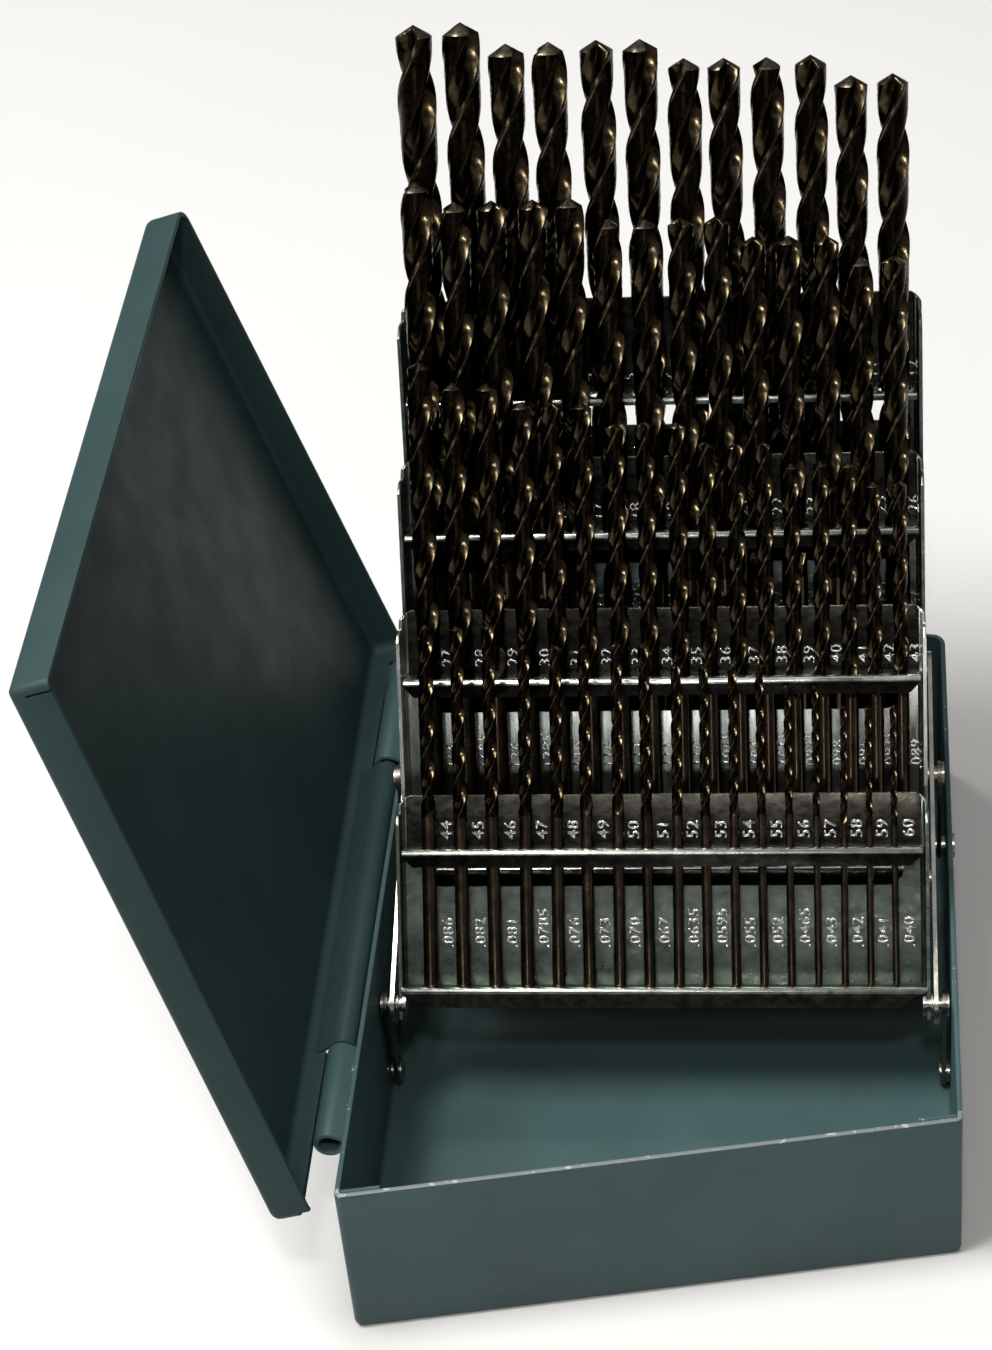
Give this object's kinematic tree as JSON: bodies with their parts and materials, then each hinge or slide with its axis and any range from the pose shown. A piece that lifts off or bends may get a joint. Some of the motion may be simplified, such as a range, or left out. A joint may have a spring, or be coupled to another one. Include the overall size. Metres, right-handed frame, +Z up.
{
  "type": "drill bit case",
  "caption": "Sheet-steel case with a hinged lid and tiered folding racks that hold a graded set of twist drills upright by size.",
  "frame": {"origin": "underside of the tray floor, midway between the side walls, 56 mm in front of the back wall", "axes": "+X to the right, away from the hinged side; +Y to the back wall; +Z up, out of the tray"},
  "size_m": [0.1201, 0.1367, 0.1355],
  "materials": {
    "tray_paint": "semi-gloss baked enamel, blue-grey",
    "lid_paint": "semi-gloss baked enamel, blue-grey",
    "hinge_steel": "plain drawn wire",
    "rack_plate": "bright plated sheet",
    "link_plate": "bright plated strip",
    "pin_steel": "plated rivet",
    "drill_oxide": "bronze and black oxide over ground steel"
  },
  "bodies": {
    "case": {"tray": "tray_paint", "hinge_pin": "hinge_steel", "case_rivets": "pin_steel"},
    "lid": {"lid": "lid_paint"},
    "front_cranks": {"front_crank_left": "link_plate", "front_crank_right": "link_plate"},
    "rear_cranks": {"rear_crank_left": "link_plate", "rear_crank_right": "link_plate"},
    "side_bars": {"side_bar_left": "link_plate", "side_bar_right": "link_plate", "rack_pins_short": "pin_steel", "rack_pins_long": "pin_steel"},
    "rack_1": {"rack_1_front": "rack_plate", "drills_44_46": "drill_oxide", "drills_47_51": "drill_oxide", "drills_52_55": "drill_oxide", "drills_56_57": "drill_oxide", "drills_58_60": "drill_oxide"},
    "rack_2": {"rack_2": "rack_plate", "drills_27": "drill_oxide", "drills_28_29": "drill_oxide", "drills_30_32": "drill_oxide", "drills_33_35": "drill_oxide", "drills_36_38": "drill_oxide", "drills_39_41": "drill_oxide", "drills_42_43": "drill_oxide"},
    "rack_3": {"rack_3": "rack_plate", "drills_13": "drill_oxide", "drills_14_17": "drill_oxide", "drills_18_21": "drill_oxide", "drills_22_24": "drill_oxide", "drills_25_26": "drill_oxide"},
    "rack_4": {"rack_4_back": "rack_plate", "drills_01_02": "drill_oxide", "drills_03_06": "drill_oxide", "drills_07_10": "drill_oxide", "drills_11_12": "drill_oxide"}
  },
  "joints": [
    {"name": "lid_hinge", "type": "hinge", "parent": "case", "child": "lid", "pos_m": [-0.045, 0, 0.0266], "axis": [0, 1, 0], "range_deg": [0, 17]},
    {"name": "rack_fold", "type": "hinge", "parent": "case", "child": "front_cranks", "pos_m": [0, -0.01734, 0.00311], "axis": [-1, 0, 0], "range_deg": [0, 90]},
    {"name": "rear_crank_turn", "type": "hinge", "parent": "case", "child": "rear_cranks", "pos_m": [0, 0.01646, 0.01801], "axis": [-1, 0, 0], "range_deg": [0, 90]},
    {"name": "bar_turn", "type": "hinge", "parent": "front_cranks", "child": "side_bars", "pos_m": [0, -0.0192, 0.0194], "axis": [-1, 0, 0], "range_deg": [-90, 0]},
    {"name": "rack_1_turn", "type": "hinge", "parent": "side_bars", "child": "rack_1", "pos_m": [0, -0.0192, 0.0194], "axis": [1, 0, 0], "range_deg": [0, 125.8]},
    {"name": "rack_2_turn", "type": "hinge", "parent": "side_bars", "child": "rack_2", "pos_m": [0, -0.001, 0.0274], "axis": [1, 0, 0], "range_deg": [0, 118.8]},
    {"name": "rack_3_turn", "type": "hinge", "parent": "side_bars", "child": "rack_3", "pos_m": [0, 0.0146, 0.0343], "axis": [1, 0, 0], "range_deg": [0, 115.3]},
    {"name": "rack_4_turn", "type": "hinge", "parent": "side_bars", "child": "rack_4", "pos_m": [0, 0.0306, 0.0413], "axis": [1, 0, 0], "range_deg": [0, 110.7]}
  ],
  "couplings": [
    {"joint": "rear_crank_turn", "follows": "rack_fold", "ratio": 1},
    {"joint": "bar_turn", "follows": "rack_fold", "ratio": -1},
    {"joint": "rack_1_turn", "follows": "rack_fold", "ratio": 1.3978},
    {"joint": "rack_2_turn", "follows": "rack_fold", "ratio": 1.32},
    {"joint": "rack_3_turn", "follows": "rack_fold", "ratio": 1.2811},
    {"joint": "rack_4_turn", "follows": "rack_fold", "ratio": 1.23}
  ]
}
